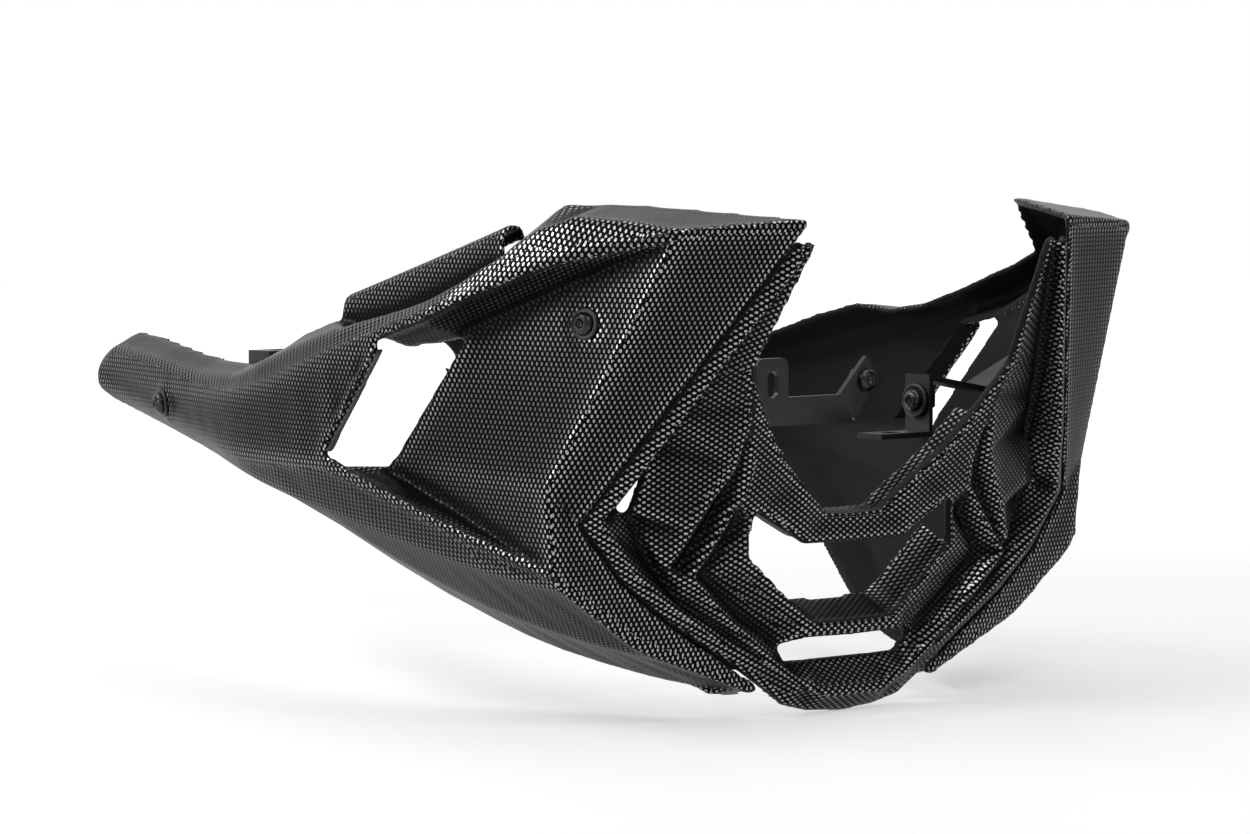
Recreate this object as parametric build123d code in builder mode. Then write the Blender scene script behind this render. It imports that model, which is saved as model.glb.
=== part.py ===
# Motorcycle belly pan: two moulded side panels, a grille nose between them and the brackets that carry it.
# Millimetres, +X towards the nose, +Z up, the right panel on -Y, origin midway between the two arm slots.
import os
from build123d import *

# Sheet, fits and bores
panel_wall = 3.0
nose_wall = 5.0
seam_gap = 1.2
rebate_clearance = 0.3
strap_thickness = 2.5
strap_width = 16.0
strap_lap = 2.0

# Character lines of the right panel, each point as station, half width and height
crease_top = (84, 143, 100)
crease_corner = (28, 172, -13)
top_edge = [(-379, 116, 26), (-366, 119, 33), (-304, 137, 30), (-252, 152, 26), (-207, 165, 27),
            (-174, 173, 35), (-93, 186, 55), (-29, 189, 69), (6, 180, 88), (36, 164, 105), crease_top,
            (130, 123, 96)]
flange_edge = [(-379, 104, 33), (-366, 101, 41), (-304, 119, 37), (-252, 135, 33), (-207, 150, 33),
               (-174, 158, 41), (-121, 167, 56), (-97, 167, 53), (-60, 167, 62), (-30, 167, 73),
               (0, 167, 85), (9, 143, 111), (101, 82, 104), (130, 62, 102)]
rail_ridge = [(-379, 119, 21), (-366, 122, 25), (-252, 157, 16), (-174, 181, 22), (-93, 194, 43),
              (-29, 196, 62), (0, 188, 73), (30, 176, 85), (75, 149, 96), (130, 126, 90)]
wedge_ridge = [(-379, 119, 16), (-366, 121, 13), (-252, 155, -1), (-174, 182, -8), (-100, 193, -8),
               (-32, 182, -31), (27, 169, -51), (130, 168, -70)]
light_line = [(-379, 116, 12), (-366, 117, 7), (-252, 150, -8), (-150, 178, -24), (-20, 171, -51),
              (28, 164, -58), (130, 150, -68)]
floor_edge = [(-379, 110, 13), (-366, 108, 8), (-252, 139, -11), (-160, 163, -27), (-108, 152, -52),
              (-67, 129, -77), (-32, 110, -93), (19, 74, -108), (38, 55, -111), (130, 40, -113)]
floor_inner = [(-379, 109.5, 13), (-366, 107, 8), (-252, 130, -12), (-160, 135, -30), (-108, 122, -55),
               (-67, 104, -80), (-32, 88, -96), (19, 73.5, -108), (38, 54.5, -111), (130, 39.5, -113)]
skin_stations = [-379, -373, -366, -350, -330, -304, -280, -252, -230, -207, -190, -174, -150, -125, -100,
                 -80, -60, -46, -32, -16, 0, 9, 22, 36, 57, 78, 98, 118]
floor_belly = 6.0

# Front return wall of the panel, from the crease round to the seam
crease_line = [crease_top, crease_corner, (28, 164, -58), (31, 122, -87), (38, 58, -111)]
seam_line = [(101, 82, 103), (31, 155, -30), (33, 131, -58), (35, 107, -76), (38, 55, -107)]
trim_rise = 1.3
trim_reach = 60.0
trim_lap = 20.0
trim_foot = 30.0
trim_margin = 0.5
trim_span = skin_stations[-1] - skin_stations[0]

# Sunk field with a ledge above and below it, and the window between its rear edge and the pillar
field_front = [(80, 145, 92), crease_corner, (27, 168, -50)]
field_rear = [(-22, 173, 55), (-74, 174, -4), (-78, 175, -8)]
rail_ledge_outer = [(81, 146, 96), (30, 175.5, 84), (-30, 195, 60), (-62, 195, 51)]
rail_ledge_inner = [(80, 141, 92), (28, 155, 72), (-28, 169, 50), (-60, 176, 45)]
wedge_ledge_outer = [(27, 168.5, -51), (-32, 181.5, -31), (-101, 192.5, -8)]
wedge_ledge_inner = [(27, 163, -49), (-25, 169, -28), (-80, 171, -8)]
pillar_edge = [(-62, 196, 45), (-103, 193, -3)]
pillar_turn = 12.0
ledge_lap = 1.0
hole_near, hole_depth = 100.0, 130.0

# Rolled lip that stands on the flange of the right panel only
lip_stations = [-118, -97, -60, -30, -4]
lip_line = [(-118, 167, 55), (-60, 167, 72), (-4, 167, 89)]
lip_radius = 7.0
lip_rise = 6.0
lip_wall = 2.5
lip_bends = [180, 144, 108, 72, 36, 0]

# Nose grille, right half: places of the rail along the seam and the lines inside it
seam_shares = [0.06, 0.52, 0.645, 0.77, 1.0, 1.25, 2.0, 3.0, 3.5, 3.9]
rebate_shares = [0.12, 0.56, 1.0, 2.0, 3.0, 3.78]
crest_inset = 6.0
crest_rise = 4.0
rebate_width = 10.0
rebate_lap = 4.0
bar_kink = (65, 83, 36)
bar_wing = (60, 77, 20)
bar_elbow = (51, 72.5, -9)
bar_joint = (47, 74, -22)
shelf_corner = (46, 62, -28)
rib_head = (46, 84, -36)
rib_corner = (44, 100, -55)
rib_turn = (44, 76, -77)
rib_foot = (44, 52, -95)
nose_valley = [(96.5, 78, 94), (57, 108, 31), (48, 114, 17), (39, 120, 3), (31, 134, -23),
               (30, 123.5, -29), (30, 113, -50), (35, 101, -67), (38, 76.5, -81.5), (41, 53.5, -96.5)]
vane_outer = nose_valley[:3] + [(39, 118.5, 3), (34, 127, -25)] + nose_valley[5:7]
vane_inner = [(97, 75, 93), bar_kink, bar_wing, bar_elbow, bar_joint, rib_head, rib_corner]
vane_ridge = vane_inner[:3] + [(52.5, 81, -7), (46.5, 91.5, -22.5), (44, 99, -33.5), (37, 109.5, -51.5)]
vane_groove = vane_inner[:3] + [(45, 76.5, -8), (39, 82, -22.5), (37.5, 90, -35), (35, 104.5, -53.5)]
bar_top = [bar_kink, (58, 67, 14), (53, 51, -4), (49, 36, -16), (45, 17, -31), (45, 0, -31.5)]
bar_low = [bar_wing, bar_elbow, bar_joint, shelf_corner, (46, 31, -44), (46, 0, -44.5)]
rib_ridge = [bar_joint, rib_head, rib_corner, rib_turn, rib_foot, (45, 33, -107), (46, 19, -113),
             (46, 0, -113)]
rib_groove = [bar_joint, (38.5, 74, -36.5), (36.5, 88, -55.5), (36.5, 65, -75.5), (38, 43, -90),
              (36, 36, -98), (36, 20, -98.5), (36, 0, -98.5)]
shelf_low = rib_groove[:5] + [(44, 28, -87), (44, 0, -87.5)]
shelf_top = [shelf_corner, (44, 64, -38), (44, 64, -49), (44, 46, -64), (44, 33, -75), (45, 24, -80),
             (45, 0, -80.5)]
chin_ridge = rib_ridge[4:]
chin_low = [(37, 36, -118), (36, 21, -121.5), (37, 0, -123)]
return_setback = 1.0
bar_return = 16.0
bar_return_rise = 3.0
shelf_return = 20.0
shelf_return_rise = 9.0
bar_back = 14.0
bar_back_rise = 2.0

# Fasteners and the flat seats that they clamp
screw_radius = 3.0
bore_radius = 3.3
head_radius = 5.2
head_height = 3.2
socket_across = 4.0
socket_depth = 1.8
washer_radius = 7.2
washer_height = 1.6
nut_across = 10.0
nut_height = 5.0
thread_clearance = 0.05
screw_tail = 2.0
seat_radius = 9.0
seat_proud = 0.8
seat_depth = 6.0
field_screw_share = (0.28, 0.25)
tail_screw_station = -286
tail_screw_share = 0.5

# Arm brackets: a foot with a slot at the origin's height, an upright and a top strap
arm_slot_spacing = 136.0
slot_length = 11.0
foot_tip = 54.0
upright_face = 88.5
arm_top = 24.0
arm_end = (128, 17)
arm_bolt_height = 14.5

# Engine bracket: a strap from the right upright with a slotted ear and a slanted one with a bolt
engine_station = 22.0
strap_low, strap_high = 8.0, 21.0
ear_spacing = 60.0
ear_width = 20.0
ear_top = 39.0
ear_slot_height = 27.0
ear_slot_length = 12.0
ear_slant = 45.0
ear_overlap = 18.0
arm_washer_radius = 8.0

# Rear brackets: a strap inside the tail with a slotted tab above the flange
rear_station = -213.0
rear_clearance = 2.0
rear_tab_height = 38.0
rear_tab_tip = 118.0
rear_slot_spacing = 262.0
rear_upright = 30.0


def spot(point):
    """The place on the right side of the bike of a station, half width and height."""
    x, half_width, z = point
    return Vector(x, -half_width, z)


def line_at(line, x):
    """Half width and height of a character line at a station, on a smooth curve that keeps to its points."""
    leg = 0
    while leg < len(line) - 2 and x > line[leg + 1][0]:
        leg += 1
    reach = line[leg + 1][0] - line[leg][0]
    t = (x - line[leg][0]) / reach
    place = []
    for axis in (1, 2):
        slopes = [(b[axis] - a[axis]) / (b[0] - a[0]) for a, b in zip(line, line[1:])]
        bends = [slopes[0]]
        for before, after in zip(slopes, slopes[1:]):
            bends.append(2 * before * after / (before + after) if before * after > 0 else 0.0)
        bends.append(slopes[-1])
        low, high = line[leg][axis], line[leg + 1][axis]
        value = low + (high - low) * t * t * (3 - 2 * t)
        value += reach * t * (1 - t) * (bends[leg] * (1 - t) - bends[leg + 1] * t)
        place.append(value)
    return Vector(-place[0], place[1])


def shares_along(line, shares):
    """Points of a line, each given by its leg and the share of that leg."""
    points = []
    for share in shares:
        leg = min(int(share), len(line) - 2)
        start, end = Vector(*line[leg]), Vector(*line[leg + 1])
        points.append(tuple(start + (end - start) * (share - leg)))
    return points


def inset(points, wall):
    """An open outline moved a wall's thickness to its left, with mitred corners."""
    steps = [(b - a).normalized() for a, b in zip(points, points[1:])]
    normals = [Vector(-step.Y, step.X) for step in steps]
    moved = []
    for i, point in enumerate(points):
        before = normals[max(i - 1, 0)]
        after = normals[min(i, len(normals) - 1)]
        mitre = (before + after).normalized()
        moved.append(point + mitre * (wall / mitre.dot(after)))
    return moved


def inboard(line, gap):
    """A line of the front moved towards the middle of the nose, keeping its stations."""
    moved = inset([Vector(-w, z) for x, w, z in line], gap)
    return [(x, -point.X, point.Y) for (x, w, z), point in zip(line, moved)]


def shifted(line, dx=0.0, dw=0.0, dz=0.0):
    """A line moved along the bike, outwards and upwards."""
    return [(x + dx, w + dw, z + dz) for x, w, z in line]


def beyond(line_from, line_to, reach):
    """The second line carried on past itself, away from the first."""
    carried = []
    for a, b in zip(line_from, line_to):
        start, end = Vector(*a), Vector(*b)
        carried.append(tuple(end + (end - start).normalized() * reach))
    return carried


def partway(line_from, line_to, reach):
    """Points a set distance from the first line towards the second, and at most half way there."""
    moved = []
    for a, b in zip(line_from, line_to):
        start, end = Vector(*a), Vector(*b)
        moved.append(tuple(start + (end - start).normalized() * min(reach, (end - start).length / 2)))
    return moved


def between(points_a, points_b):
    """Flat triangles that fill the band between two rows of points."""
    triangles = []
    for a, b, c, d in zip(points_a, points_b, points_b[1:], points_a[1:]):
        triangles += [(a, b, c), (a, c, d)]
    return triangles


def sheet(fronts, backs):
    """A solid sheet from the triangles of its front and the matching ones of its back."""
    faces = []
    rim = {}
    for front, back in zip(fronts, backs):
        if min((p - q).length for p, q in zip(front, front[1:] + front[:1])) < 0.01:
            continue
        faces += [Face(Wire.make_polygon(front)), Face(Wire.make_polygon(back))]
        for i, j in ((0, 1), (1, 2), (2, 0)):
            key = frozenset(tuple(round(v, 3) + 0.0 for v in front[k]) for k in (i, j))
            if rim.pop(key, None) is None:
                rim[key] = (front[i], front[j], back[j], back[i])
    for p, q, r, s in rim.values():
        faces += [Face(Wire.make_polygon([p, q, r])), Face(Wire.make_polygon([p, r, s]))]
    return Solid(Shell(faces))


def strip(line_a, line_b, depth):
    """A strip of sheet between two lines, thick along one direction."""
    sections = []
    for a, b in zip(line_a, line_b):
        start, end = spot(a), spot(b)
        plane = Plane(start, x_dir=end - start, z_dir=(end - start).cross(depth))
        corners = [start, end, end + depth, start + depth]
        with BuildSketch(plane) as section:
            with BuildLine():
                Polyline(*[plane.to_local_coords(corner) for corner in corners], close=True)
            make_face()
        sections.append(section.sketch)
    with BuildPart() as piece:
        loft(sections, ruled=True)
    return piece.part


def folded_sheet(bands, depth):
    """One sheet folded along the lines of its bands, with both its sides alike, thick along one direction."""
    fronts = []
    for side in (-1, 1):
        for line_a, line_b in bands:
            near = [Vector(x, side * w, z) for x, w, z in line_a]
            far = [Vector(x, side * w, z) for x, w, z in line_b]
            fronts += between(near, far)
    return sheet(fronts, [tuple(corner + depth for corner in corners) for corners in fronts])


def moulded_skin(stations):
    """The skin of the panel, folded along its character lines and bent from station to station."""
    outer = []
    inner = []
    for x in stations:
        outline = skin_outline(x)
        outer.append([Vector(x, point.X, point.Y) for point in outline])
        inner.append([Vector(x, point.X, point.Y) for point in inset(outline, panel_wall)])
    fronts = []
    backs = []
    for i in range(len(stations) - 1):
        fronts += between(outer[i], outer[i + 1])
        backs += between(inner[i], inner[i + 1])
    return sheet(fronts, backs)


def skin_outline(x):
    """Outer line of the panel's section at a station, from the flange down to the floor's inner edge."""
    light, edge = line_at(light_line, x), line_at(floor_edge, x)
    belly = (light + edge) * 0.5 - Vector(0, floor_belly * (light - edge).length / 100)
    upper = [line_at(line, x) for line in (flange_edge, top_edge, rail_ridge, wedge_ridge)]
    return upper + [light, belly, edge, line_at(floor_inner, x)]


def surface_plane(origin, along, down):
    """A plane on the outside of the right panel, its normal pointing away from the bike."""
    normal = along.cross(down).normalized()
    if normal.Y > 0:
        normal = normal * -1
    return Plane(origin + normal * seat_proud, x_dir=along, z_dir=normal)


def corner_share(corners, u, v):
    """A point of the sheet stretched over four corners, and its two directions there."""
    front_top, rear_top, front_low, rear_low = [spot(corner) for corner in corners]
    top, low = front_top + (rear_top - front_top) * u, front_low + (rear_low - front_low) * u
    along = (rear_top - front_top) * (1 - v) + (rear_low - front_low) * v
    return top + (low - top) * v, along, low - top


def tail_point(x, share):
    """A point of the tail's side between the rail and the wedge line."""
    rail, wedge = line_at(rail_ridge, x), line_at(wedge_ridge, x)
    place = rail + (wedge - rail) * share
    return Vector(x, place.X, place.Y)


def lip_section(x):
    """Section of the rolled lip, standing on the flange's inner edge."""
    foot = line_at(flange_edge, x)
    y, z = foot.X - lip_wall, line_at(lip_line, x).Y + lip_rise
    middle = Vector(y + lip_radius, z)
    outer = [middle + Vector(lip_radius, 0).rotate(Axis.Z, angle) for angle in lip_bends]
    inner = [middle + Vector(lip_radius - lip_wall, 0).rotate(Axis.Z, angle) for angle in reversed(lip_bends)]
    with BuildSketch(Plane.YZ.offset(x)) as section:
        with BuildLine():
            low = foot.Y - panel_wall / 2
            Polyline((y, low), *outer, *inner, (y + lip_wall, low), close=True)
        make_face()
    return section.sketch


def bent_strap(outline, x_low, x_high):
    """A strap of steel with the given side outline, bent and as wide as its two stations say."""
    with BuildPart() as strap:
        with BuildSketch(Plane.YZ.offset(x_low)):
            with BuildLine():
                Polyline(*outline, *reversed(inset(outline, strap_thickness)), close=True)
            make_face()
        extrude(amount=x_high - x_low)
    return strap.part


os.makedirs("parts", exist_ok=True)

forward = Vector(1, 0, 0)
inward = Vector(0, 1, 0)
upward = Vector(0, 0, 1)

# What lies in front of the panel's return wall, carried on above the top edge and out past the skin
crest = shares_along([crease_corner, crease_top], [trim_rise])[0]
crest_seam = tuple(Vector(*crest) + Vector(*seam_line[0]) - Vector(*crease_top))
cut_crease = shifted([crest] + crease_line, dx=-panel_wall / 2)
cut_seam = shifted([crest_seam] + seam_line, dx=-panel_wall / 2)
cut_past = beyond(cut_crease, cut_seam, trim_lap)
cut_inner = cut_past[:2] + cut_seam[2:-1] + cut_past[-1:]
front_waste = strip(beyond(cut_seam, cut_crease, trim_reach), cut_inner, forward * trim_span)

# The hole in the skin that the sunk field fills, seen from the side
hole_line = pillar_edge[:1] + shifted(rail_ledge_outer[::-1], dz=-ledge_lap) + [crease_corner]
hole_line += shifted(wedge_ledge_outer[:2], dz=ledge_lap) + pillar_edge[1:]
with BuildPart() as field_hole:
    with BuildSketch(Plane.XZ.offset(hole_near)):
        with BuildLine():
            Polyline(*[(x, z) for x, w, z in hole_line], close=True)
        make_face()
    extrude(amount=hole_depth)

field_corners = [field_front[0], field_rear[0], field_front[1], field_rear[1]]
field_plane = surface_plane(*corner_share(field_corners, *field_screw_share))
tail_here = tail_point(tail_screw_station, tail_screw_share)
tail_along = tail_point(tail_screw_station + 1, tail_screw_share) - tail_here
tail_down = tail_point(tail_screw_station, 1) - tail_point(tail_screw_station, 0)
tail_plane = surface_plane(tail_here, tail_along, tail_down)
seat_stack = seat_proud + seat_depth
from_rear = (Align.MIN, Align.CENTER, Align.CENTER)

with BuildPart() as side_panel:
    add(moulded_skin(skin_stations))
    add(front_waste, mode=Mode.SUBTRACT)
    with Locations((crease_line[-1][0] + trim_margin, 0, crease_line[-1][2])):
        Box(trim_span, trim_span, trim_foot, align=from_rear, mode=Mode.SUBTRACT)
    with Locations((seam_line[0][0], 0, 0)):
        Box(trim_span, trim_span, trim_span, align=from_rear, mode=Mode.SUBTRACT)
    add(field_hole.part, mode=Mode.SUBTRACT)
    add(strip(crease_line, seam_line, forward * -panel_wall))
    add(strip(field_front, field_rear, inward * panel_wall))
    add(strip(rail_ledge_outer, rail_ledge_inner, upward * panel_wall))
    add(strip(wedge_ledge_outer, wedge_ledge_inner, upward * -panel_wall))
    add(strip(pillar_edge, shifted(pillar_edge, dx=-pillar_turn / 2, dw=-pillar_turn), forward * -panel_wall))
    for plane in (field_plane, tail_plane):
        with BuildSketch(plane):
            Circle(seat_radius)
        extrude(amount=-seat_stack)
    for plane in (field_plane, tail_plane):
        with BuildSketch(plane):
            Circle(bore_radius)
        extrude(amount=-2 * seat_stack, mode=Mode.SUBTRACT)

with BuildPart() as right_side_panel:
    add(side_panel.part)
    loft([lip_section(x) for x in lip_stations], ruled=True)
right_side_panel.part.label = "right_side_panel"
export_step(right_side_panel.part, "parts/right_side_panel.step")

with BuildPart() as left_side_panel:
    add(side_panel.part)
    mirror(about=Plane.XZ, mode=Mode.REPLACE)
left_side_panel.part.label = "left_side_panel"
export_step(left_side_panel.part, "parts/left_side_panel.step")

nose_seam = inboard(shares_along(seam_line, seam_shares), seam_gap)
nose_crest = shifted(inboard(nose_seam, crest_inset), dx=crest_rise)
rib_start = [rib_corner, rib_corner, rib_turn, rib_foot]
nose_end = [nose_seam[-1], nose_crest[-1], nose_valley[-1]]
rebate_seam = shifted(shares_along(seam_line, rebate_shares), dx=-panel_wall - rebate_clearance)
rebate_crease = shifted(shares_along(crease_line, rebate_shares), dx=-panel_wall - rebate_clearance)
nose_bands = [
    (nose_seam, nose_crest), (nose_crest, nose_valley), (nose_valley[6:], rib_start),
    (nose_end, [rib_foot] * 3), (vane_outer, vane_ridge), (vane_ridge, vane_groove),
    (vane_groove, vane_inner), (bar_top, bar_low), (rib_ridge, rib_groove), (shelf_top, shelf_low),
    (chin_ridge, [nose_seam[-1]] + chin_low),
]
with BuildPart() as nose_returns:
    add(strip(shifted(bar_low[2:], -return_setback, 0, return_setback),
              shifted(bar_low[2:], -bar_return, 0, bar_return_rise), upward * panel_wall))
    add(strip(shifted(shelf_top[2:], -return_setback, 0, -return_setback),
              shifted(shelf_top[2:], -shelf_return, 0, shelf_return_rise), upward * -panel_wall))
    add(strip(shifted(bar_top[1:], -return_setback, 0, -return_setback),
              shifted(bar_top[1:], -bar_back, 0, bar_back_rise), upward * -panel_wall))
    add(strip(beyond(rebate_crease, rebate_seam, rebate_lap),
              partway(rebate_seam, rebate_crease, rebate_width), forward * -panel_wall))
    mirror(about=Plane.XZ)

with BuildPart() as nose_cowl:
    add(folded_sheet(nose_bands, forward * -nose_wall))
    add(nose_returns.part)
nose_cowl.part.label = "nose_cowl"
export_step(nose_cowl.part, "parts/nose_cowl.step")

# Arm brackets, from the seat behind the sunk field down to the slotted foot
pad_depth = seat_stack + strap_thickness / 2
pad_down = field_plane.y_dir if field_plane.y_dir.Z < 0 else field_plane.y_dir * -1
pad_rim = field_plane.origin - field_plane.z_dir * pad_depth + pad_down * (seat_radius - strap_lap)
pad_side = field_plane.x_dir if field_plane.x_dir.X > 0 else field_plane.x_dir * -1
strap_half = strap_width / 2
riser_foot = Vector(0, -arm_end[0] + strap_lap, arm_end[1] + strap_thickness / 2)
riser_depth = (pad_rim - riser_foot).cross(forward).normalized() * strap_thickness
with BuildPart() as arm_bracket_right:
    arm_outline = [Vector(-arm_end[0], arm_end[1]), Vector(-upright_face, arm_top),
                   Vector(-upright_face, -strap_thickness), Vector(-foot_tip, -strap_thickness)]
    add(bent_strap(arm_outline, -strap_half, strap_half))
    riser_rear = [riser_foot - forward * strap_half, pad_rim - pad_side * strap_half]
    riser_front = [riser_foot + forward * strap_half, pad_rim + pad_side * strap_half]
    add(strip([(p.X, -p.Y, p.Z) for p in riser_rear], [(p.X, -p.Y, p.Z) for p in riser_front], riser_depth))
    with BuildSketch(field_plane.offset(-seat_stack)):
        Circle(seat_radius)
    extrude(amount=-strap_thickness)
    with BuildSketch(field_plane.offset(-seat_stack)):
        Circle(bore_radius)
    extrude(amount=-4 * strap_thickness, both=True, mode=Mode.SUBTRACT)
    with BuildSketch(Plane.XY):
        with Locations((0, -arm_slot_spacing / 2)):
            SlotOverall(slot_length, 2 * bore_radius, rotation=90)
    extrude(amount=-2 * strap_thickness, mode=Mode.SUBTRACT)
    with BuildSketch(Plane.XZ.offset(upright_face)):
        with Locations((0, arm_bolt_height)):
            Circle(bore_radius)
    extrude(amount=-2 * strap_thickness, mode=Mode.SUBTRACT)
arm_bracket_right.part.label = "arm_bracket_right"
export_step(arm_bracket_right.part, "parts/arm_bracket_right.step")

with BuildPart() as arm_bracket_left:
    add(arm_bracket_right.part)
    mirror(about=Plane.XZ, mode=Mode.REPLACE)
arm_bracket_left.part.label = "arm_bracket_left"
export_step(arm_bracket_left.part, "parts/arm_bracket_left.step")

# Engine bracket, bolted to the inner face of the right upright
tab_face = upright_face - strap_thickness
ear_place = ear_spacing / 2
strap_rise = strap_high - strap_low
ear_along = inward.rotate(Axis.X, ear_slant)
ear_plane = Plane((engine_station, ear_place, ear_slot_height), x_dir=ear_along, z_dir=forward)
with BuildPart() as engine_bracket:
    with BuildSketch(Plane.YZ.offset(engine_station)):
        with Locations((-tab_face, strap_low)):
            Rectangle(tab_face + ear_place - ear_overlap / 2, strap_rise, align=(Align.MIN, Align.MIN))
        with Locations((-ear_place, strap_low)):
            Rectangle(ear_width, ear_top - strap_low, align=(Align.CENTER, Align.MIN))
    extrude(amount=-strap_thickness)
    ear_corners = engine_bracket.edges().filter_by(Axis.X).group_by(Axis.Z)[-1]
    fillet(ear_corners, ear_width / 5)
    with BuildSketch(ear_plane):
        with Locations((strap_half, 0)):
            Rectangle(strap_half + ear_overlap, strap_width, align=(Align.MAX, Align.CENTER))
    extrude(amount=-strap_thickness)
    with BuildSketch(ear_plane):
        Circle(bore_radius)
    extrude(amount=-2 * strap_thickness, mode=Mode.SUBTRACT)
    with BuildSketch(Plane.YZ.offset(engine_station)):
        with Locations((-ear_place, ear_slot_height)):
            SlotOverall(ear_slot_length, 2 * bore_radius, rotation=90)
    extrude(amount=-2 * strap_thickness, mode=Mode.SUBTRACT)
    with Locations((engine_station, -tab_face, strap_low)):
        Box(engine_station + strap_half, strap_thickness, strap_rise, align=(Align.MAX, Align.MIN, Align.MIN))
    with BuildSketch(Plane.XZ):
        with Locations((0, arm_bolt_height)):
            Circle(bore_radius)
    extrude(amount=2 * tab_face, mode=Mode.SUBTRACT)
engine_bracket.part.label = "engine_bracket"
export_step(engine_bracket.part, "parts/engine_bracket.step")

# A thick washer takes the place of the engine bracket on the left upright
with BuildPart() as arm_washer:
    with BuildSketch(Plane((0, tab_face, arm_bolt_height), x_dir=(1, 0, 0), z_dir=(0, -1, 0))):
        Circle(arm_washer_radius)
        Circle(bore_radius, mode=Mode.SUBTRACT)
    extrude(amount=strap_thickness)
arm_washer.part.label = "arm_washer"
export_step(arm_washer.part, "parts/arm_washer.step")

# Rear brackets, from the seat behind the tail to the slotted tab above the flange
tail_pad = tail_plane.origin - tail_plane.z_dir * pad_depth
rear_rear, rear_front = rear_station - strap_half, rear_station + strap_half
tail_forward = tail_plane.x_dir if tail_plane.x_dir.X > 0 else tail_plane.x_dir * -1
tail_up = tail_plane.y_dir if tail_plane.y_dir.Z > 0 else tail_plane.y_dir * -1
tail_rim = tail_pad + tail_forward * (seat_radius - strap_lap)
rear_low = rear_tab_height - rear_upright
rear_face = -line_at(flange_edge, rear_rear).X - rear_clearance
rear_join = Vector(rear_rear + strap_lap, -rear_face + strap_thickness / 2, rear_low)
with BuildPart() as rear_bracket_right:
    rear_outline = [Vector(-rear_tab_tip, rear_tab_height), Vector(-rear_face, rear_tab_height),
                    Vector(-rear_face, rear_low)]
    add(bent_strap(rear_outline, rear_rear, rear_front))
    strap_tops = [tail_rim + tail_up * strap_half, rear_join + upward * strap_width]
    strap_feet = [tail_rim - tail_up * strap_half, rear_join]
    add(strip([(p.X, -p.Y, p.Z) for p in strap_tops], [(p.X, -p.Y, p.Z) for p in strap_feet],
              inward * strap_thickness))
    with BuildSketch(tail_plane.offset(-seat_stack)):
        Circle(seat_radius)
    extrude(amount=-strap_thickness)
    with BuildSketch(tail_plane.offset(-seat_stack)):
        Circle(bore_radius)
    extrude(amount=-4 * strap_thickness, mode=Mode.SUBTRACT)
    with BuildSketch(Plane.XY.offset(rear_tab_height)):
        with Locations((rear_station, -rear_slot_spacing / 2)):
            SlotOverall(slot_length, 2 * bore_radius, rotation=90)
    extrude(amount=-2 * strap_thickness, mode=Mode.SUBTRACT)
rear_bracket_right.part.label = "rear_bracket_right"
export_step(rear_bracket_right.part, "parts/rear_bracket_right.step")

with BuildPart() as rear_bracket_left:
    add(rear_bracket_right.part)
    mirror(about=Plane.XZ, mode=Mode.REPLACE)
rear_bracket_left.part.label = "rear_bracket_left"
export_step(rear_bracket_left.part, "parts/rear_bracket_left.step")

# Fasteners, a pair of each: those of the panels clamp a washer, a seat and a strap
arm_plane = Plane((0, -tab_face + strap_thickness, arm_bolt_height), x_dir=(1, 0, 0), z_dir=(0, 1, 0))
for place, plane, under_head, clamped in (
    ("field", field_plane, washer_height, seat_stack + strap_thickness),
    ("tail", tail_plane, washer_height, seat_stack + strap_thickness),
    ("arm", arm_plane, 0.0, 2 * strap_thickness),
    ("ear", ear_plane, 0.0, strap_thickness),
):
    paired = place != "ear"
    with BuildPart() as screws:
        with BuildSketch(plane.offset(under_head)):
            Circle(head_radius)
        extrude(amount=head_height)
        rims = screws.edges().filter_by(GeomType.CIRCLE)
        chamfer(rims.sort_by(lambda edge: plane.to_local_coords(edge.center()).Z)[-1:], head_height / 2)
        with BuildSketch(plane.offset(under_head + head_height)):
            RegularPolygon(socket_across / 2, 6, major_radius=False)
        extrude(amount=-socket_depth, mode=Mode.SUBTRACT)
        with BuildSketch(plane.offset(under_head)):
            Circle(screw_radius)
        extrude(amount=-(under_head + clamped + nut_height + screw_tail))
        if paired:
            mirror(about=Plane.XZ)
    screws.part.label = f"{place}_screws"
    export_step(screws.part, f"parts/{place}_screws.step")

    with BuildPart() as nuts:
        with BuildSketch(plane.offset(-clamped)):
            RegularPolygon(nut_across / 2, 6, major_radius=False)
            Circle(screw_radius + thread_clearance, mode=Mode.SUBTRACT)
        extrude(amount=-nut_height)
        if paired:
            mirror(about=Plane.XZ)
    nuts.part.label = f"{place}_nuts"
    export_step(nuts.part, f"parts/{place}_nuts.step")

    if under_head:
        with BuildPart() as washers:
            with BuildSketch(plane):
                Circle(washer_radius)
                Circle(bore_radius, mode=Mode.SUBTRACT)
            extrude(amount=washer_height)
            mirror(about=Plane.XZ)
        washers.part.label = f"{place}_washers"
        export_step(washers.part, f"parts/{place}_washers.step")
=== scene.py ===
# Looks of a motorcycle belly pan: moulded side panels and nose in weave film, black steel straps and screws.
import math
import bpy
import bmesh
import numpy as np
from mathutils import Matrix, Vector
from mathutils.bvhtree import BVHTree


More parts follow.
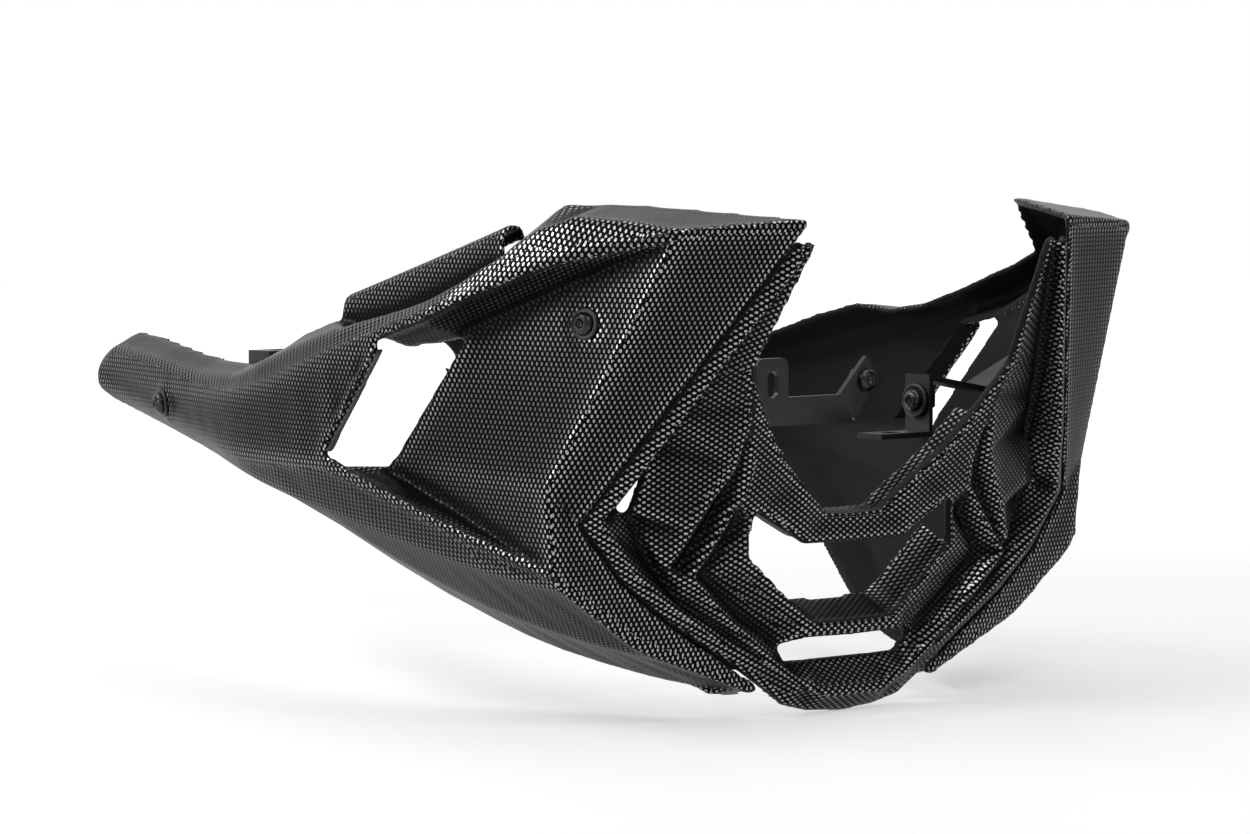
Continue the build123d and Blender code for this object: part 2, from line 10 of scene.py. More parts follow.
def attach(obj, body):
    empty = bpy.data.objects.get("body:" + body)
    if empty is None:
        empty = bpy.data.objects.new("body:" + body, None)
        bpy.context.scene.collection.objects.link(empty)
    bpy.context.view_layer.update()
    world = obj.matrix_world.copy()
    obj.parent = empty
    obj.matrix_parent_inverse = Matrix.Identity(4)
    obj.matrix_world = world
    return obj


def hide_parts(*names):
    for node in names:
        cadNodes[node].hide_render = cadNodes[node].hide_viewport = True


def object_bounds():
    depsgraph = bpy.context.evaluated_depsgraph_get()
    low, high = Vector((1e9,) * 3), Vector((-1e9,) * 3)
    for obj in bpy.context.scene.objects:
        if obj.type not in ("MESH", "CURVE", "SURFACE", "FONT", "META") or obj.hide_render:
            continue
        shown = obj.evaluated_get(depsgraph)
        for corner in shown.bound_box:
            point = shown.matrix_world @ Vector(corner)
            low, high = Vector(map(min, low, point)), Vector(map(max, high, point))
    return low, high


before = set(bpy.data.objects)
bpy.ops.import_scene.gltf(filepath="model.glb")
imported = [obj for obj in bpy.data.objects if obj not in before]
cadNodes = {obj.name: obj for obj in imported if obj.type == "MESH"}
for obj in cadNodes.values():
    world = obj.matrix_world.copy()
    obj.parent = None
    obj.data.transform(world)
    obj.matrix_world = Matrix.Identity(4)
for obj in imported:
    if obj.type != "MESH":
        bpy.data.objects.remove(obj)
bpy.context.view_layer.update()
mm = 0.001
weldGap = 1e-6
print("loaded", len(cadNodes), "nodes")


# Shared mesh helpers
def mergedCopy(nodeName):
    mesh = cadNodes[nodeName].data.copy()
    work = bmesh.new()
    work.from_mesh(mesh)
    bmesh.ops.remove_doubles(work, verts=work.verts, dist=weldGap)
    work.to_mesh(mesh)
    work.free()
    return mesh


def evaluatedMesh(holder):
    depsgraph = bpy.context.evaluated_depsgraph_get()
    mesh = bpy.data.meshes.new_from_object(holder.evaluated_get(depsgraph))
    bpy.data.objects.remove(holder)
    return mesh


def linkedObject(name, mesh):
    piece = bpy.data.objects.new(name, mesh)
    bpy.context.scene.collection.objects.link(piece)
    return piece


def finishPiece(name, mesh, material, nodeNames):
    mesh.name = name
    mesh.materials.clear()
    mesh.materials.append(material)
    mesh.polygons.foreach_set("use_smooth", [True] * len(mesh.polygons))
    piece = linkedObject(name, mesh)
    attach(piece, "root")
    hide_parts(*nodeNames)
    print("made", name, len(mesh.polygons), "faces")
    return piece


# Shader helpers
def mathNode(tree, operation, first, second=None):
    node = tree.nodes.new("ShaderNodeMath")
    node.operation = operation
    for index, value in enumerate((first, second)):
        if value is None:
            continue
        if isinstance(value, (int, float)):
            node.inputs[index].default_value = value
        else:
            tree.links.new(value, node.inputs[index])
    return node.outputs[0]


def mixNode(tree, share, low, high, kind):
    node = tree.nodes.new("ShaderNodeMix")
    node.data_type = kind
    first, result = (6, 2) if kind == "RGBA" else (2, 0)
    tree.links.new(share, node.inputs[0])
    for index, value in ((first, low), (first + 1, high)):
        if isinstance(value, (int, float, tuple)):
            node.inputs[index].default_value = value
        else:
            tree.links.new(value, node.inputs[index])
    return node.outputs[result]


def smoothRange(tree, value, source, result):
    node = tree.nodes.new("ShaderNodeMapRange")
    node.interpolation_type = "SMOOTHSTEP"
    tree.links.new(value, node.inputs["Value"])
    node.inputs["From Min"].default_value, node.inputs["From Max"].default_value = source
    node.inputs["To Min"].default_value, node.inputs["To Max"].default_value = result
    return node.outputs["Result"]


def attributeNode(tree, name):
    node = tree.nodes.new("ShaderNodeAttribute")
    node.attribute_name = name
    return node.outputs["Fac"]


def bumpNode(tree, shader, height, strength, depth):
    node = tree.nodes.new("ShaderNodeBump")
    node.inputs["Strength"].default_value = strength
    node.inputs["Distance"].default_value = depth
    tree.links.new(height, node.inputs["Height"])
    tree.links.new(node.outputs["Normal"], shader.inputs["Normal"])


def grey(value, tint=1.03):
    # a tint over 1 leans to blue
    return (value, value, value * tint, 1.0)


def newMaterial(name):
    material = bpy.data.materials.new(name)
    material.use_nodes = True
    return material, material.node_tree, material.node_tree.nodes["Principled BSDF"]


# Weave film outside, plain black moulding inside
film = {
    "pitch": 2.75 * mm,          # across the threads
    "row": 2.2 * mm,             # from one row of threads to the next
    "threadHalf": (0.215, 0.42),  # half size of a thread, as a share of pitch and row
    "edge": (1.14, 0.74),        # where a thread fades out and is full
    "ground": grey(0.006),
    "thread": (grey(0.03), grey(0.42)),   # the thread's colour with painted shade in the folds and painted highlight on the ridges
    "flatPaintedLight": 0.42,            # painted light of a thread on a flat wall, from 0 for painted shade in the folds to 1 for painted highlight on the ridges
    "paintedLightScales": [(18, 1.2 * mm), (90, 7.0 * mm)],   # rounds, and depth of fold over which the painted light goes from highlight to shade
    "groundRough": 0.3,
    "threadRough": 0.3,
    "threadMetal": 0.92,
    "inside": grey(0.026),
    "insideRough": 0.46,
    "gloss": 0.06,
    "rimShine": grey(0.25, 1.0),   # of the threads at a low angle, so that they do not whiten the outline
    "bump": 0.12,
    "bumpDepth": 0.12 * mm,
    "leastLevel": 0.35,          # an aspect steeper than this has its threads set out along the pan
}


def filmMaterial(name, values):
    material, tree, shader = newMaterial(name)
    shader.inputs["Specular IOR Level"].default_value = values["gloss"]
    shader.inputs["Specular Tint"].default_value = values["rimShine"]
    uvMap = tree.nodes.new("ShaderNodeUVMap")
    uvMap.uv_map = "filmMap"
    split = tree.nodes.new("ShaderNodeSeparateXYZ")
    tree.links.new(uvMap.outputs["UV"], split.inputs[0])
    across = mathNode(tree, "DIVIDE", split.outputs[0], values["pitch"])
    along = mathNode(tree, "DIVIDE", split.outputs[1], values["row"])
    oddRow = mathNode(tree, "FLOORED_MODULO", mathNode(tree, "FLOOR", along), 2.0)
    shifted = mathNode(tree, "ADD", across, mathNode(tree, "MULTIPLY", oddRow, 0.5))
    squares = []
    for value, half in zip((shifted, along), values["threadHalf"]):
        centred = mathNode(tree, "SUBTRACT", mathNode(tree, "FRACT", value), 0.5)
        offset = mathNode(tree, "ABSOLUTE", mathNode(tree, "DIVIDE", centred, half))
        squares.append(mathNode(tree, "POWER", offset, 2.0))
    reach = mathNode(tree, "SQRT", mathNode(tree, "ADD", *squares))
    thread = smoothRange(tree, reach, values["edge"], (0.0, 1.0))
    onFilm = attributeNode(tree, "film")
    # the threads' colour mixes painted shade in the folds with painted highlight on the ridges and rims
    paintedLightThreadColour = mixNode(tree, attributeNode(tree, "paintedLight"), *values["thread"], "RGBA")
    filmColour = mixNode(tree, thread, values["ground"], paintedLightThreadColour, "RGBA")
    filmRough = mixNode(tree, thread, values["groundRough"], values["threadRough"], "FLOAT")
    colour = mixNode(tree, onFilm, values["inside"], filmColour, "RGBA")
    rough = mixNode(tree, onFilm, values["insideRough"], filmRough, "FLOAT")
    shownThread = mathNode(tree, "MULTIPLY", thread, onFilm)
    tree.links.new(colour, shader.inputs["Base Color"])
    tree.links.new(rough, shader.inputs["Roughness"])
    tree.links.new(mathNode(tree, "MULTIPLY", shownThread, values["threadMetal"]), shader.inputs["Metallic"])
    bumpNode(tree, shader, shownThread, values["bump"], values["bumpDepth"])
    return material


# Moulded shells: the CAD wall with soft moulded edges
panelShell = {
    "voxel": 1.5 * mm,
    "rounds": 34,                # each pulls the mesh smooth, then pushes it back to size
    "pull": 0.5,
    "push": -0.515,
    "softRounds": 80,            # more rounds on the rail and the tail, which are broad and round
    "softPush": -0.506,
    "softBlend": 20,             # rounds over which they begin
    "softTail": -0.122,          # the tail lies behind this station
    "softNose": 0.070,           # and the rail ends at this one
    "window": (-0.116, -0.040, 0.040),   # the window's ends and top, which stay crisp
    "softLine": (-0.060, 0.034, 0.37),   # a station, the height of the rail's foot there and its climb
    "lift": 0.3 * mm,            # how far off the mesh the nearest CAD wall is looked for
    "blend": 10,                 # rounds that even out the borders of the film's aspects
    "clear": 0.25,               # walls turned further out than this carry film
    "front": 0.6,                # and so do the others that are turned further forward than this
    "middle": [                  # mid height of the section along the panel
        (-0.379, 0.019), (-0.252, 0.008), (-0.174, 0.007), (-0.093, 0.015),
        (-0.032, 0.0), (0.028, 0.0), (0.084, 0.06), (0.118, 0.085),
    ],
    "aspects": [                 # ways that the film is laid on, outwards
        (0, -1, 0), (0.89, -0.23, -0.38), (0.98, -0.15, -0.03), (0, -0.2, 0.98),
        (0.1, -0.6, 0.8), (0, -0.55, -0.83), (0.6, -0.2, -0.78),
    ],
    "swap": False,               # whether the threads run across
}
noseShell = {
    "voxel": 1.25 * mm,
    "rounds": 40,
    "pull": 0.5,
    "push": -0.512,
    "softRounds": 0,
    "lift": 0.3 * mm,
    "blend": 18,
    "back": 0.1,                 # walls turned less forward than this are plain
    "aspects": [
        (1, 0, 0), (0.85, 0.5, -0.15), (0.85, -0.5, -0.15), (0.62, 0, 0.78), (0.62, 0, -0.78),
        (0.35, 0.94, 0), (0.35, -0.94, 0),
    ],
    "swap": True,
}


def neighbourSums(points, edges):
    heads, tails = edges[:, 0], edges[:, 1]
    size = len(points)
    sums = []
    for column in points.T:
        sums.append(np.bincount(heads, column[tails], size) + np.bincount(tails, column[heads], size))
    return np.stack(sums, axis=1)


def relaxed(points, edges, rounds, pull, push, weight=1.0):
    count = np.bincount(edges.ravel(), minlength=len(points)).astype(float)[:, None]
    for step in range(2 * rounds):
        share = pull if step % 2 == 0 else push
        points = points + (neighbourSums(points, edges) / count - points) * share * weight
    return points


def evened(points, edges, rounds, share=0.5):
    return relaxed(points, edges, rounds, share, share)


def softPlaces(points, edges, values):
    station, foot, climb = values["softLine"]
    x, z = points[:, 0], points[:, 2]
    rear, front, top = values["window"]
    window = (x > rear) & (x < front) & (z < top)
    rail = (z > foot + (x - station) * climb) & (x < values["softNose"]) & ~window
    weight = ((x < values["softTail"]) | rail).astype(float)[:, None]
    return evened(weight, edges, values["softBlend"])


def filmWalls(source, side, values):
    shown = []
    for wall in source.polygons:
        normal = wall.normal
        outward = -normal.y * side
        if "back" in values:
            shown.append(normal.x > values["back"])
        elif abs(outward) > values["clear"]:
            shown.append(outward > 0)
        elif abs(normal.x) > values["front"]:
            shown.append(normal.x > 0)
        else:
            middle = np.interp(wall.center.x, *zip(*values["middle"]))
            shown.append((wall.center.z - middle) * normal.z > 0)
    return np.array(shown)


def unit(vectors):
    return vectors / np.linalg.norm(vectors, axis=1)[:, None]


def readItems(items, key, kind, width=1):
    # one key of all a mesh's points, edges, faces or corners, in rows of the given width
    rows = np.zeros(len(items) * width, kind)
    items.foreach_get(key, rows)
    return rows.reshape(-1, width) if width > 1 else rows


def filmAxes(values):
    # each aspect, with the level way and the way up on it
    aspects = unit(np.array(values["aspects"], float))
    level = np.stack([-aspects[:, 1], aspects[:, 0], np.zeros(len(aspects))], axis=1)
    level[np.linalg.norm(level, axis=1) < film["leastLevel"]] = (1, 0, 0)
    level = unit(level - aspects * np.sum(level * aspects, axis=1)[:, None])
    return aspects, level, np.cross(aspects, level)


def layFilm(mesh, points, marks, edges, side, values):
    aspects, level, rise = filmAxes(values)
    points = points * (1, side, 1)
    facings = np.array([v.normal for v in mesh.vertices]) * (1, side, 1)
    starts = readItems(mesh.polygons, "loop_start", int)
    totals = readItems(mesh.polygons, "loop_total", int)
    corners = readItems(mesh.loops, "vertex_index", int)
    # painted light: a thread is painted darker in a fold as shade and lighter on a ridge or rim as highlight
    paintedLight = np.full(len(points), film["flatPaintedLight"])
    for rounds, depth in film["paintedLightScales"]:
        sunk = evened(points, edges, rounds) - points
        paintedLight -= np.sum(sunk * facings, axis=1) / depth
    paintedLight = np.clip(paintedLight, 0.0, 1.0)
    facings = evened(facings, edges, values["blend"])
    nearest = np.argmax(np.add.reduceat(facings[corners], starts) @ aspects.T, axis=1)
    aspect = np.repeat(nearest, totals)
    places = points[corners]
    across = np.sum(places * level[aspect], axis=1)
    along = np.sum(places * rise[aspect], axis=1)
    pair = (along, across) if values["swap"] else (across, along)
    uvLayer = mesh.uv_layers.new(name="filmMap")
    uvLayer.data.foreach_set("uv", np.stack(pair, axis=1).astype(np.float32).ravel())
    for name, measure in (("film", marks), ("paintedLight", paintedLight)):
        mesh.attributes.new(name, "FLOAT", "POINT").data.foreach_set("value", measure.astype(np.float32))


def mouldedShell(pieceName, nodeName, material, side, values):
    source = mergedCopy(nodeName)
    walls = BVHTree.FromPolygons([v.co for v in source.vertices], [p.vertices for p in source.polygons])
    shown = filmWalls(source, side, values)
    holder = linkedObject("holder", source)
    grid = holder.modifiers.new("grid", "REMESH")
    grid.mode = "VOXEL"
    grid.voxel_size = values["voxel"]
    mesh = evaluatedMesh(holder)
    points = readItems(mesh.vertices, "co", float, 3)
    edges = readItems(mesh.edges, "vertices", int, 2)
    points = relaxed(points, edges, values["rounds"], values["pull"], values["push"])
    if values["softRounds"]:
        weight = softPlaces(points, edges, values)
        points = relaxed(points, edges, values["softRounds"], values["pull"], values["softPush"], weight)
    mesh.vertices.foreach_set("co", points.ravel())
    mesh.update()
    lift = values["lift"]
    marks = np.array([shown[walls.find_nearest(v.co + v.normal * lift)[2]] for v in mesh.vertices])
    layFilm(mesh, readItems(mesh.vertices, "co", float, 3), marks, edges, side, values)
    finishPiece(pieceName, mesh, material, [nodeName])


panelFilm = filmMaterial("panelFilm", film)
mouldedShell("rightPanelShell", "right_side_panel", panelFilm, 1, panelShell)
mouldedShell("leftPanelShell", "left_side_panel", panelFilm, -1, panelShell)
noseFilm = filmMaterial("noseFilm", film)
mouldedShell("noseShell", "nose_cowl", noseFilm, 1, noseShell)


# Black steel straps
steel = {
    "colour": grey(0.013),
    "rough": 0.42,
    "grain": 0.6 * mm,
    "grainStrength": 0.25,
    "grainDepth": 0.06 * mm,
    "edge": 0.45 * mm,           # of the soft edge, in this many steps
    "edgeSteps": 2,
    "edgeAngle": math.radians(35),
    "flatAngle": math.radians(24),
}
paintGrain = {                   # shared by the straps, the screws and the washers
    "detail": 3.0,
    "lift": 1.6,                 # the grain's light spots against its dark ones
    "roughSpread": 0.08,
}


def paintMaterial(name, values):
    material, tree, shader = newMaterial(name)
    shader.inputs["Metallic"].default_value = 0.0
    noise = tree.nodes.new("ShaderNodeTexNoise")
    noise.inputs["Scale"].default_value = 1.0 / values["grain"]
    noise.inputs["Detail"].default_value = paintGrain["detail"]
    place = tree.nodes.new("ShaderNodeTexCoord").outputs["Object"]
    tree.links.new(place, noise.inputs["Vector"])
    grain = noise.outputs["Fac"]
    bumpNode(tree, shader, grain, values["grainStrength"], values["grainDepth"])
    light = tuple(paintGrain["lift"] * part for part in values["colour"][:3]) + (1.0,)
    smooth, coarse = values["rough"] - paintGrain["roughSpread"], values["rough"] + paintGrain["roughSpread"]
    tree.links.new(mixNode(tree, grain, values["colour"], light, "RGBA"), shader.inputs["Base Color"])
    tree.links.new(mixNode(tree, grain, smooth, coarse, "FLOAT"), shader.inputs["Roughness"])
    return material


def steelStrap(pieceName, nodeName, material):
    holder = linkedObject("holder", mergedCopy(nodeName))
    softEdge = holder.modifiers.new("softEdge", "BEVEL")
    softEdge.width = steel["edge"]
    softEdge.segments = steel["edgeSteps"]
    softEdge.limit_method = "ANGLE"
    softEdge.angle_limit = steel["edgeAngle"]
    piece = finishPiece(pieceName, evaluatedMesh(holder), material, [nodeName])
    piece.data.set_sharp_from_angle(angle=steel["flatAngle"])


steelPaint = paintMaterial("steelPaint", steel)
for pieceName, nodeName in (
    ("rightArmStrap", "arm_bracket_right"), ("leftArmStrap", "arm_bracket_left"),
    ("engineStrap", "engine_bracket"),
    ("rightRearStrap", "rear_bracket_right"), ("leftRearStrap", "rear_bracket_left"),
):
    steelStrap(pieceName, nodeName, steelPaint)


# Screws, washers and nuts, turned once and set out on their seats
fasteners = {                    # seats and sizes in millimetres, a seat is a place and the way it faces
    "sides": 48,
    "screwFinish": {"colour": grey(0.004), "rough": 0.26, "grain": 0.8 * mm, "grainStrength": 0.1,
                    "grainDepth": 0.03 * mm},
    "washerFinish": {"colour": grey(0.004), "rough": 0.4, "grain": 0.5 * mm, "grainStrength": 0.2,
                     "grainDepth": 0.04 * mm},
    "socketHalf": 2.0,
    "fieldSeat": ((38.58, -158.55, 58.70), (0.1791, -0.9779, 0.1083)),
    "tailSeat": ((-286.26, -145.78, 10.14), (-0.3207, -0.9355, -0.1486)),
    "strapSeat": ((0.0, -83.5, 14.5), (0.0, 1.0, 0.0)),
    "earSeat": ((22.0, 30.0, 27.0), (1.0, 0.0, 0.0)),
    "leftSeat": ((0.0, 83.5, 14.5), (0.0, -1.0, 0.0)),
    "panelStack": 9.3,           # what each screw clamps, from its seat to its nut
    "strapStack": 5.0,
    "earStack": 2.5,
    "panelWasher": (3.3, 7.2, 1.6),   # bore, rim and height
    "strapWasher": (3.3, 8.0, 2.5),
    "nut": 5.0,
    "nutHalf": 5.0,
    "nutBore": 3.05,
    "tail": 2.0,                 # how far a screw stands out of its nut
    "shank": 3.0,
}


def hexReach(angle, half):
    return half / math.cos((angle + math.pi / 6) % (math.pi / 3) - math.pi / 6)


def turnedMesh(name, profile, sides):
    # profile holds radius, height and how much the ring is a hexagon
    work = bmesh.new()
    rings = []
    for radius, height, hexShare in profile:
        ring = []
        for index in range(sides):
            angle = 2 * math.pi * index / sides
            reach = (radius + (hexReach(angle, radius) - radius) * hexShare) * mm
            ring.append(work.verts.new((reach * math.cos(angle), reach * math.sin(angle), height * mm)))
        rings.append(ring)
    for low, high in zip(rings, rings[1:]):
        for index in range(sides):
            after = (index + 1) % sides
            work.faces.new((low[index], low[after], high[after], high[index]))
    work.faces.new(list(reversed(rings[0])))
    work.faces.new(rings[-1])
    bmesh.ops.recalc_face_normals(work, faces=work.faces)
    mesh = bpy.data.meshes.new(name)
    work.to_mesh(mesh)
    work.free()
    return linkedObject(name, mesh)


def fastenerTree():
    tree = bpy.data.node_groups.new("fastenersOnSeats", "GeometryNodeTree")
    given = {"Seats": "Geometry", "Fastener": "Object", "Size": "Float", "Finish": "Material"}
    for label, kind in given.items():
        tree.interface.new_socket(label, in_out="INPUT", socket_type="NodeSocket" + kind)
    tree.interface.new_socket("Set", in_out="OUTPUT", socket_type="NodeSocketGeometry")
    start = tree.nodes.new("NodeGroupInput")
    result = tree.nodes.new("NodeGroupOutput")
    shape = tree.nodes.new("GeometryNodeObjectInfo")
    facing = tree.nodes.new("GeometryNodeInputNamedAttribute")
    facing.data_type = "FLOAT_VECTOR"
    facing.inputs["Name"].default_value = "facing"
    turn = tree.nodes.new("FunctionNodeAlignRotationToVector")
    turn.axis = "Z"
    place = tree.nodes.new("GeometryNodeInstanceOnPoints")
    real = tree.nodes.new("GeometryNodeRealizeInstances")
    paint = tree.nodes.new("GeometryNodeSetMaterial")
    link = tree.links.new
    link(start.outputs["Seats"], place.inputs["Points"])
    link(start.outputs["Fastener"], shape.inputs["Object"])
    link(shape.outputs["Geometry"], place.inputs["Instance"])
    link(facing.outputs["Attribute"], turn.inputs["Vector"])
    link(turn.outputs["Rotation"], place.inputs["Rotation"])
    link(start.outputs["Size"], place.inputs["Scale"])
    link(place.outputs["Instances"], real.inputs["Geometry"])
    link(real.outputs["Geometry"], paint.inputs["Geometry"])
    link(start.outputs["Finish"], paint.inputs["Material"])
    link(paint.outputs["Geometry"], result.inputs["Set"])
    return tree


seatTree = fastenerTree()


def setOut(pieceName, shape, seats, material, nodeNames):
    mesh = bpy.data.meshes.new(pieceName + "Seats")
    places = []
    facings = []
    for (x, y, z), (nx, ny, nz), lift, both in seats:
        for side in (1, -1) if both else (1,):
            places.append(((x + nx * lift) * mm, side * (y + ny * lift) * mm, (z + nz * lift) * mm))
            facings.append((nx, side * ny, nz))
    mesh.from_pydata(places, [], [])
    facing = mesh.attributes.new("facing", "FLOAT_VECTOR", "POINT")
    facing.data.foreach_set("vector", np.array(facings, np.float32).ravel())
    holder = linkedObject("holder", mesh)
    modifier = holder.modifiers.new("seats", "NODES")
    modifier.node_group = seatTree
    inputs = {"Fastener": shape, "Size": 1.0, "Finish": material}
    for item in seatTree.interface.items_tree:
        if item.name in inputs:
            modifier[item.identifier] = inputs[item.name]
    result = evaluatedMesh(holder)
    bpy.data.objects.remove(shape)
    finishPiece(pieceName, result, material, nodeNames)


def screwProfile(shankLength):
    shank = fasteners["shank"]
    socket = fasteners["socketHalf"]
    return [
        (shank - 0.6, -shankLength, 0), (shank, -shankLength + 0.6, 0), (shank, 0, 0),
        (5.0, 0, 0), (5.2, 0.2, 0), (5.2, 0.9, 0), (5.05, 1.4, 0), (4.7, 1.9, 0), (4.2, 2.4, 0),   # head
        (3.7, 2.75, 0), (3.45, 2.85, 0), (3.3, 2.9, 0), (3.15, 3.1, 0), (2.9, 3.2, 0), (2.6, 3.2, 0.2),
        (socket + 0.15, 3.12, 1), (socket, 2.95, 1), (socket, 1.4, 1),
    ]


def washerProfile(bore, rim, high):
    return [
        (bore, 0.1, 0), (bore + 0.1, 0, 0), (rim - 0.3, 0, 0), (rim - 0.08, 0.12, 0), (rim, 0.4, 0),
        (rim, high - 0.7, 0), (rim - 0.15, high - 0.3, 0), (rim - 0.5, high - 0.08, 0), (rim - 1.0, high, 0),
        (bore + 2.2, high, 0), (bore + 0.1, high, 0), (bore, high - 0.1, 0),
    ]


def nutProfile():
    half, high, bore = fasteners["nutHalf"], fasteners["nut"], fasteners["nutBore"]
    return [
        (bore, 0.1, 0), (bore + 0.2, 0, 0), (half - 0.4, 0, 0.6), (half, 0.4, 1), (half, high - 0.4, 1),
        (half - 0.4, high, 0.6), (bore + 0.2, high, 0), (bore, high - 0.1, 0),
    ]


def ringMesh(name, profile, sides):
    # a turned shape that closes on itself round its bore
    ring = turnedMesh(name, profile + profile[:1], sides)
    work = bmesh.new()
    work.from_mesh(ring.data)
    bmesh.ops.delete(work, geom=[f for f in work.faces if len(f.verts) > 4], context="FACES_ONLY")
    bmesh.ops.remove_doubles(work, verts=work.verts, dist=weldGap)
    bmesh.ops.recalc_face_normals(work, faces=work.faces)
    work.to_mesh(ring.data)
    work.free()
    return ring


def raised(seat, lift, both=True):
    return fasteners[seat] + (lift, both)


screwPaint = paintMaterial("screwPaint", fasteners["screwFinish"])
washerPaint = paintMaterial("washerPaint", fasteners["washerFinish"])
sides = fasteners["sides"]
washerHigh = fasteners["panelWasher"][2]
nutReach = fasteners["nut"] + fasteners["tail"]
panelShank = washerHigh + fasteners["panelStack"] + nutReach
strapShank = fasteners["strapStack"] + nutReach
earShank = fasteners["earStack"] + nutReach
panelDrop, strapDrop, earDrop = (
    -fasteners[stack] - fasteners["nut"] for stack in ("panelStack", "strapStack", "earStack"))
setOut("panelScrews", turnedMesh("panelScrew", screwProfile(panelShank), sides),
       [raised("fieldSeat", washerHigh), raised("tailSeat", washerHigh)],
       screwPaint, ["field_screws", "tail_screws"])
setOut("strapScrews", turnedMesh("strapScrew", screwProfile(strapShank), sides),
       [raised("strapSeat", 0.0)], screwPaint, ["arm_screws"])
setOut("earScrew", turnedMesh("earScrewShape", screwProfile(earShank), sides),
       [raised("earSeat", 0.0, False)], screwPaint, ["ear_screws"])
setOut("strapWasher", ringMesh("strapWasherShape", washerProfile(*fasteners["strapWasher"]), sides),
       [raised("leftSeat", -fasteners["strapWasher"][2], False)], screwPaint, ["arm_washer"])
setOut("panelWashers", ringMesh("panelWasher", washerProfile(*fasteners["panelWasher"]), sides),
       [raised("fieldSeat", 0.0), raised("tailSeat", 0.0)],
       washerPaint, ["field_washers", "tail_washers"])
setOut("clampNuts", ringMesh("clampNut", nutProfile(), sides),
       [raised("fieldSeat", panelDrop), raised("tailSeat", panelDrop), raised("strapSeat", strapDrop),
        raised("earSeat", earDrop, False)],
       screwPaint, ["field_nuts", "tail_nuts", "arm_nuts", "ear_nuts"])


# Studio: pale floor, white sweep and soft lamps
studio = {
    "floorHalf": 5.0,
    "floor": grey(0.6, 1.01),
    "floorRough": 0.6,
    "floorGloss": 0.2,
    "floorGlow": (0.5, 1.0),     # near the pan and far from it
    "floorReach": (0.45, 1.7),
    "frontFloor": (-2.0, -0.6),  # the floor dims from here to there, towards the camera
    "frontGlow": 0.5,
    "viewSide": (0.669, 0.743, 0.0),
    "viewSpread": 0.131,         # the picture's half width for each metre from the camera
    "viewReach": 2.3,
    "sideFade": (0.04, 0.6),     # past the picture's sides the floor dims over this
    "sideGlow": 0.4,
    "sweepSide": (-0.743, 0.669, 0.0),   # where the white sweep stands
    "sweepEdge": (0.45, 0.92),
    "sweepGlow": (0.5, 1.0),     # in front of the pan and behind it
    "ambient": 0.1,
    "target": (-0.112, 0.0, 0.005),
    "camera": (1.594, -1.536, 0.145),
    "lens": 137.8,
    "sensor": 36.0,
    "clip": (0.05, 50.0),
    "lamps": [                   # name, place, target, size along and across, watts
        ("overhead", (-0.1, 0.2, 1.3), (-0.1, 0.0, 0.0), 1.3, 0.9, 6.5),
        ("railStrip", (-0.75, -1.05, 1.1), (-0.1, -0.15, 0.0), 1.6, 0.3, 15.0),
        ("frontStrip", (1.0, -0.35, 1.25), (0.05, 0.0, 0.0), 0.9, 0.25, 5.0),
        ("leftBox", (-0.5, -1.85, 0.25), (0.0, -0.15, 0.03), 0.4, 0.7, 6.0),
    ],
}


def seenRays(tree):
    # the rays that see the white: the camera's, gloss and glass
    rays = tree.nodes.new("ShaderNodeLightPath").outputs
    cameraOrGloss = mathNode(tree, "MAXIMUM", rays["Is Camera Ray"], rays["Is Glossy Ray"])
    return mathNode(tree, "MAXIMUM", cameraOrGloss, rays["Is Transmission Ray"])


def vectorNode(tree, operation, vector, other=None):
    node = tree.nodes.new("ShaderNodeVectorMath")
    node.operation = operation
    tree.links.new(vector, node.inputs[0])
    if other:
        node.inputs[1].default_value = other
    return node.outputs["Value"]


def floorGlow(tree):
    # dimmer near the pan, towards the camera and past the picture's sides
    place = tree.nodes.new("ShaderNodeTexCoord").outputs["Object"]
    away = vectorNode(tree, "DOT_PRODUCT", place, studio["sweepSide"])
    aside = mathNode(tree, "ABSOLUTE", vectorNode(tree, "DOT_PRODUCT", place, studio["viewSide"]))
    depth = mathNode(tree, "ADD", away, studio["viewReach"])
    past = mathNode(tree, "SUBTRACT", aside, mathNode(tree, "MULTIPLY", depth, studio["viewSpread"]))
    spread = smoothRange(tree, vectorNode(tree, "LENGTH", place), studio["floorReach"], studio["floorGlow"])
    front = smoothRange(tree, away, studio["frontFloor"], (studio["frontGlow"], 1.0))
    outer = smoothRange(tree, past, studio["sideFade"], (1.0, studio["sideGlow"]))
    level = mathNode(tree, "MULTIPLY", mathNode(tree, "MULTIPLY", spread, front), outer)
    return mathNode(tree, "MULTIPLY", seenRays(tree), level)


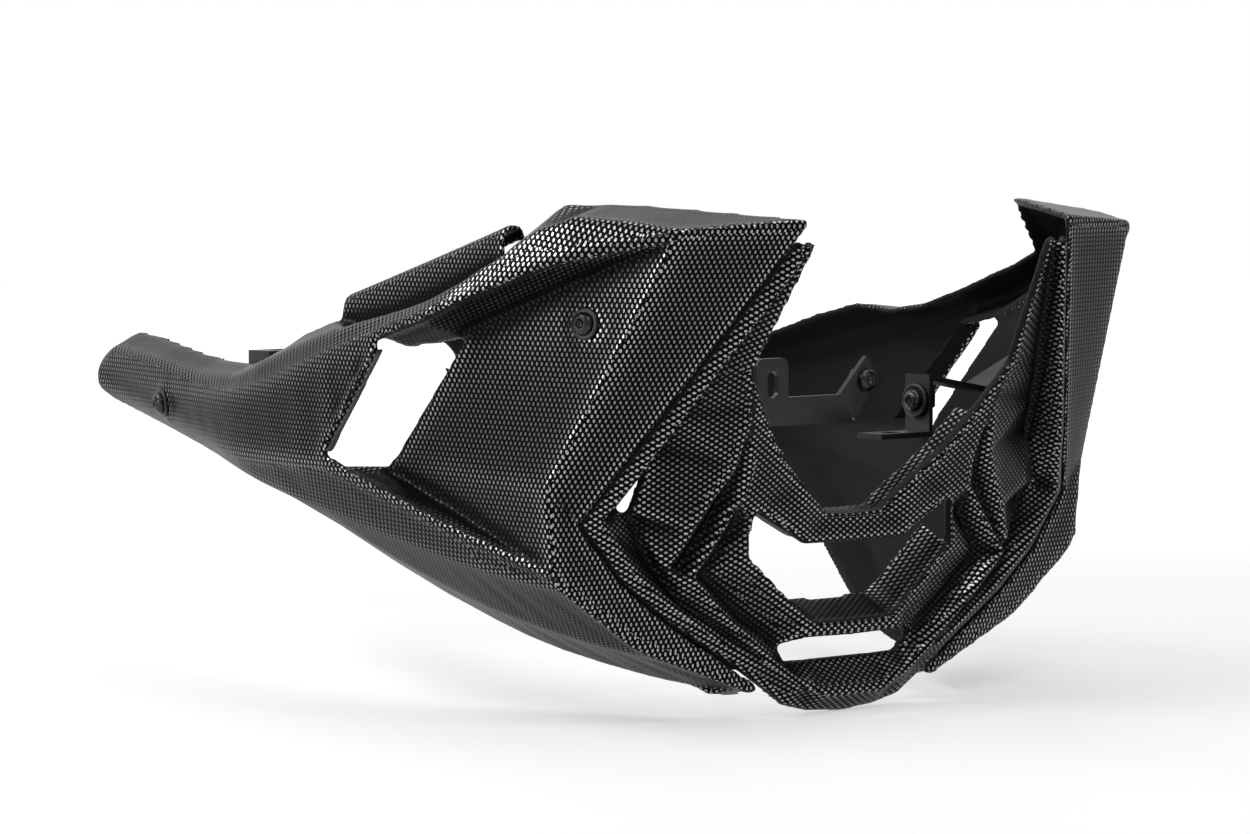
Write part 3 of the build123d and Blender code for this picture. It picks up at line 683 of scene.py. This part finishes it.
def floorMaterial(name):
    material, tree, shader = newMaterial(name)
    shader.inputs["Base Color"].default_value = studio["floor"]
    shader.inputs["Roughness"].default_value = studio["floorRough"]
    shader.inputs["Specular IOR Level"].default_value = studio["floorGloss"]
    glow = tree.nodes.new("ShaderNodeEmission")
    tree.links.new(floorGlow(tree), glow.inputs["Strength"])
    both = tree.nodes.new("ShaderNodeAddShader")
    tree.links.new(shader.outputs[0], both.inputs[0])
    tree.links.new(glow.outputs[0], both.inputs[1])
    tree.links.new(both.outputs[0], tree.nodes["Material Output"].inputs["Surface"])
    return material


def aim(thing, place, target):
    thing.location = place
    thing.rotation_mode = "QUATERNION"
    thing.rotation_quaternion = (Vector(target) - Vector(place)).to_track_quat("-Z", "Y")


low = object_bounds()[0]
half = studio["floorHalf"]
floorMesh = bpy.data.meshes.new("floor")
floorMesh.from_pydata([(x * half, y * half, low.z) for x, y in ((-1, -1), (1, -1), (1, 1), (-1, 1))],
                      [], [(0, 1, 2, 3)])
floorMesh.materials.append(floorMaterial("floorPaint"))
floor = linkedObject("floor", floorMesh)

world = bpy.data.worlds.new("studioWorld")
bpy.context.scene.world = world
world.use_nodes = True
worldTree = world.node_tree
background = worldTree.nodes["Background"]
background.inputs["Color"].default_value = (1.0, 1.0, 1.0, 1.0)
direction = worldTree.nodes.new("ShaderNodeTexCoord").outputs["Generated"]
towardsSweep = vectorNode(worldTree, "DOT_PRODUCT", direction, studio["sweepSide"])
sweepWhite = smoothRange(worldTree, towardsSweep, studio["sweepEdge"], studio["sweepGlow"])
worldLevel = mixNode(worldTree, seenRays(worldTree), studio["ambient"], sweepWhite, "FLOAT")
worldTree.links.new(worldLevel, background.inputs["Strength"])

for lampName, place, target, sizeAlong, sizeAcross, watts in studio["lamps"]:
    lamp = bpy.data.lights.new(lampName, "AREA")
    lamp.shape = "RECTANGLE"
    lamp.size, lamp.size_y = sizeAlong, sizeAcross
    lamp.energy = watts
    aim(linkedObject(lampName, lamp), place, target)

lens = bpy.data.cameras.new("camera")
lens.sensor_width = studio["sensor"]
lens.lens = studio["lens"]
lens.clip_start, lens.clip_end = studio["clip"]
camera = linkedObject("camera", lens)
aim(camera, studio["camera"], studio["target"])
bpy.context.scene.camera = camera
bpy.context.scene.view_settings.view_transform = "Standard"

print("studio ready")
